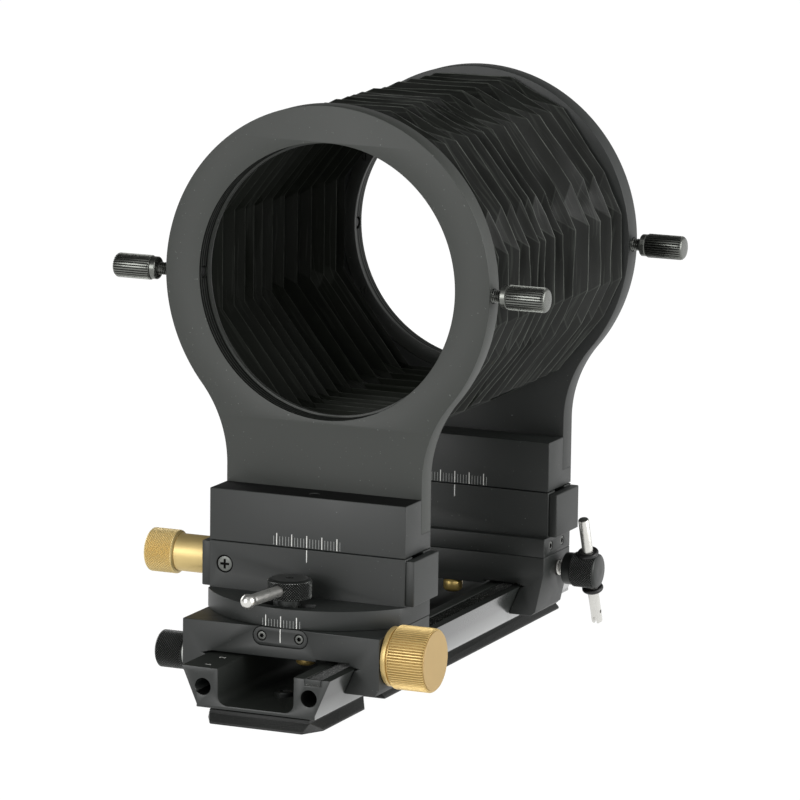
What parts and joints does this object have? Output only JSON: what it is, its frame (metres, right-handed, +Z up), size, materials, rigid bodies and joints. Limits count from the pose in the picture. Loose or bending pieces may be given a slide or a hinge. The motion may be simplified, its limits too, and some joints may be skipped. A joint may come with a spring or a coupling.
{
  "type": "macro bellows unit",
  "caption": "Macro bellows unit: two ring standards with swing, cross shift and rack focus on a dovetail rail, joined by a pleated cloth bellows.",
  "frame": {"origin": "mouth of the tripod thread under the rear foot, at the middle of the rail's length, on the plane the feet stand on", "axes": "+X right seen from the lens side, +Y from the lens standard to the camera standard, +Z up"},
  "size_m": [0.1418, 0.2017, 0.1815],
  "materials": {
    "black_anodised": "satin black anodised",
    "black_block": "satin black anodised",
    "rack_steel": "blackened steel",
    "bright_brass": "turned",
    "gold_anodised": "satin gold anodised",
    "black_steel": "blackened steel",
    "bright_steel": "turned",
    "chrome_steel": "polished",
    "o_ring_rubber": "matt",
    "bellows_cloth": "matt coated cloth"
  },
  "bodies": {
    "base": {"rail": "black_anodised", "gear_rack": "rack_steel", "front_foot": "black_anodised", "rear_foot": "black_anodised", "foot_screws": "black_steel", "bellows": "bellows_cloth"},
    "front_carriage": {"front_carriage": "black_block", "index_plate": "bright_steel", "index_plate_screws": "black_steel", "front_keeper_bolt": "bright_brass"},
    "focus_drive": {"focus_knob": "gold_anodised", "focus_pinion": "bright_steel"},
    "carriage_lock": {"carriage_lock_knob": "black_anodised", "carriage_lock_stud": "bright_steel"},
    "swing_stage": {"swing_plate": "black_block", "front_shift_guide": "black_block", "front_guide_cap_left": "black_block", "front_guide_cap_right": "black_block", "front_guide_screw": "black_steel"},
    "swing_lock": {"swing_lock_knob": "black_anodised", "swing_lock_stud": "bright_steel", "swing_lock_lever": "chrome_steel"},
    "front_standard": {"front_shift_block": "black_block", "front_ring_plate": "black_anodised", "front_ring_screws": "black_steel", "front_clamp_ring": "black_anodised", "front_clamp_ring_screws": "black_steel"},
    "front_shift_drive": {"front_lead_screw": "bright_steel", "front_shift_knob": "gold_anodised"},
    "rear_carriage": {"rear_carriage": "black_block", "rear_spacer": "black_block", "rear_spacer_screws": "black_steel", "rear_shift_guide": "black_block", "rear_guide_cap_left": "black_block", "rear_guide_cap_right": "black_block", "rear_guide_screw": "black_steel", "rear_keeper_bolt": "bright_brass"},
    "rear_clamp": {"clamp_knob": "black_anodised", "clamp_stud": "bright_steel", "clamp_bar": "bright_steel", "clamp_bar_rings": "o_ring_rubber"},
    "rear_standard": {"rear_shift_block": "black_block", "rear_ring_plate": "black_anodised", "rear_ring_screws": "black_steel", "rear_clamp_ring": "black_anodised", "rear_clamp_ring_screws": "black_steel"},
    "rear_shift_drive": {"rear_lead_screw": "bright_steel", "rear_shift_knob": "gold_anodised"},
    "front_thumbscrew_tip_left": {"front_thumbscrew_tip_left": "bright_brass"},
    "front_thumbscrew_left": {"front_thumbscrew_left": "black_anodised"},
    "front_thumbscrew_tip_right": {"front_thumbscrew_tip_right": "bright_brass"},
    "front_thumbscrew_right": {"front_thumbscrew_right": "black_anodised"},
    "rear_thumbscrew_tip_left": {"rear_thumbscrew_tip_left": "bright_brass"},
    "rear_thumbscrew_left": {"rear_thumbscrew_left": "black_anodised"},
    "rear_thumbscrew_tip_right": {"rear_thumbscrew_tip_right": "bright_brass"},
    "rear_thumbscrew_right": {"rear_thumbscrew_right": "black_anodised"}
  },
  "joints": [
    {"name": "front_focus", "type": "slide", "parent": "base", "child": "front_carriage", "axis": [0, 1, 0], "range_m": [-0.016, 0.04], "deforming": ["bellows"]},
    {"name": "focus_knob_turn", "type": "hinge", "parent": "front_carriage", "child": "focus_drive", "pos_m": [0.033, -0.074, 0.0205], "axis": [1, 0, 0], "range_deg": [-574, 230]},
    {"name": "carriage_lock_turn", "type": "hinge", "parent": "front_carriage", "child": "carriage_lock", "pos_m": [-0.033, -0.0705, 0.0141], "axis": [-1, 0, 0], "range_deg": [-30, 360]},
    {"name": "front_swing", "type": "hinge", "parent": "front_carriage", "child": "swing_stage", "pos_m": [0, -0.0437, 0.0274], "axis": [0, 0, 1], "range_deg": [-9, 9], "deforming": ["bellows"]},
    {"name": "swing_lock_turn", "type": "hinge", "parent": "front_carriage", "child": "swing_lock", "pos_m": [0, -0.0765, 0.0334], "axis": [0, 0, 1], "range_deg": [-45, 85]},
    {"name": "front_shift_knob_turn", "type": "hinge", "parent": "swing_stage", "child": "front_shift_drive", "pos_m": [-0.0354, -0.0549, 0.0409], "axis": [1, 0, 0], "range_deg": [-1985, 1985]},
    {"name": "front_shift", "type": "slide", "parent": "swing_stage", "child": "front_standard", "axis": [1, 0, 0], "range_m": [-0.011, 0.011], "deforming": ["bellows"]},
    {"name": "rear_focus", "type": "slide", "parent": "base", "child": "rear_carriage", "axis": [0, 1, 0], "range_m": [-0.018, 0.024], "deforming": ["bellows"]},
    {"name": "rear_clamp_turn", "type": "hinge", "parent": "rear_carriage", "child": "rear_clamp", "pos_m": [0.032, 0.059, 0.0219], "axis": [1, 0, 0], "range_deg": [-30, 270]},
    {"name": "rear_shift_knob_turn", "type": "hinge", "parent": "rear_carriage", "child": "rear_shift_drive", "pos_m": [-0.0354, 0.0584, 0.0409], "axis": [1, 0, 0], "range_deg": [-1985, 1985]},
    {"name": "rear_shift", "type": "slide", "parent": "rear_carriage", "child": "rear_standard", "axis": [1, 0, 0], "range_m": [-0.011, 0.011], "deforming": ["bellows"]},
    {"name": "front_thumbscrew_left_advance", "type": "slide", "parent": "front_standard", "child": "front_thumbscrew_tip_left", "axis": [-1, 0, 0], "range_m": [-0.0021, 0.0007]},
    {"name": "front_thumbscrew_left_turn", "type": "hinge", "parent": "front_thumbscrew_tip_left", "child": "front_thumbscrew_left", "pos_m": [-0.044, -0.0494, 0.1275], "axis": [-1, 0, 0], "range_deg": [-1086, 366]},
    {"name": "front_thumbscrew_right_advance", "type": "slide", "parent": "front_standard", "child": "front_thumbscrew_tip_right", "axis": [1, 0, 0], "range_m": [-0.0021, 0.0007]},
    {"name": "front_thumbscrew_right_turn", "type": "hinge", "parent": "front_thumbscrew_tip_right", "child": "front_thumbscrew_right", "pos_m": [0.044, -0.0494, 0.1275], "axis": [1, 0, 0], "range_deg": [-1086, 366]},
    {"name": "rear_thumbscrew_left_advance", "type": "slide", "parent": "rear_standard", "child": "rear_thumbscrew_tip_left", "axis": [-1, 0, 0], "range_m": [-0.0021, 0.0007]},
    {"name": "rear_thumbscrew_left_turn", "type": "hinge", "parent": "rear_thumbscrew_tip_left", "child": "rear_thumbscrew_left", "pos_m": [-0.044, 0.0645, 0.1275], "axis": [-1, 0, 0], "range_deg": [-1086, 366]},
    {"name": "rear_thumbscrew_right_advance", "type": "slide", "parent": "rear_standard", "child": "rear_thumbscrew_tip_right", "axis": [1, 0, 0], "range_m": [-0.0021, 0.0007]},
    {"name": "rear_thumbscrew_right_turn", "type": "hinge", "parent": "rear_thumbscrew_tip_right", "child": "rear_thumbscrew_right", "pos_m": [0.044, 0.0645, 0.1275], "axis": [1, 0, 0], "range_deg": [-1086, 366]}
  ],
  "couplings": [
    {"joint": "focus_knob_turn", "follows": "front_focus", "rad_per_m": -250},
    {"joint": "front_shift_knob_turn", "follows": "front_shift", "rad_per_m": 3141.6},
    {"joint": "rear_shift_knob_turn", "follows": "rear_shift", "rad_per_m": 3141.6},
    {"joint": "front_thumbscrew_left_turn", "follows": "front_thumbscrew_left_advance", "rad_per_m": 8976},
    {"joint": "front_thumbscrew_right_turn", "follows": "front_thumbscrew_right_advance", "rad_per_m": 8976},
    {"joint": "rear_thumbscrew_left_turn", "follows": "rear_thumbscrew_left_advance", "rad_per_m": 8976},
    {"joint": "rear_thumbscrew_right_turn", "follows": "rear_thumbscrew_right_advance", "rad_per_m": 8976}
  ]
}
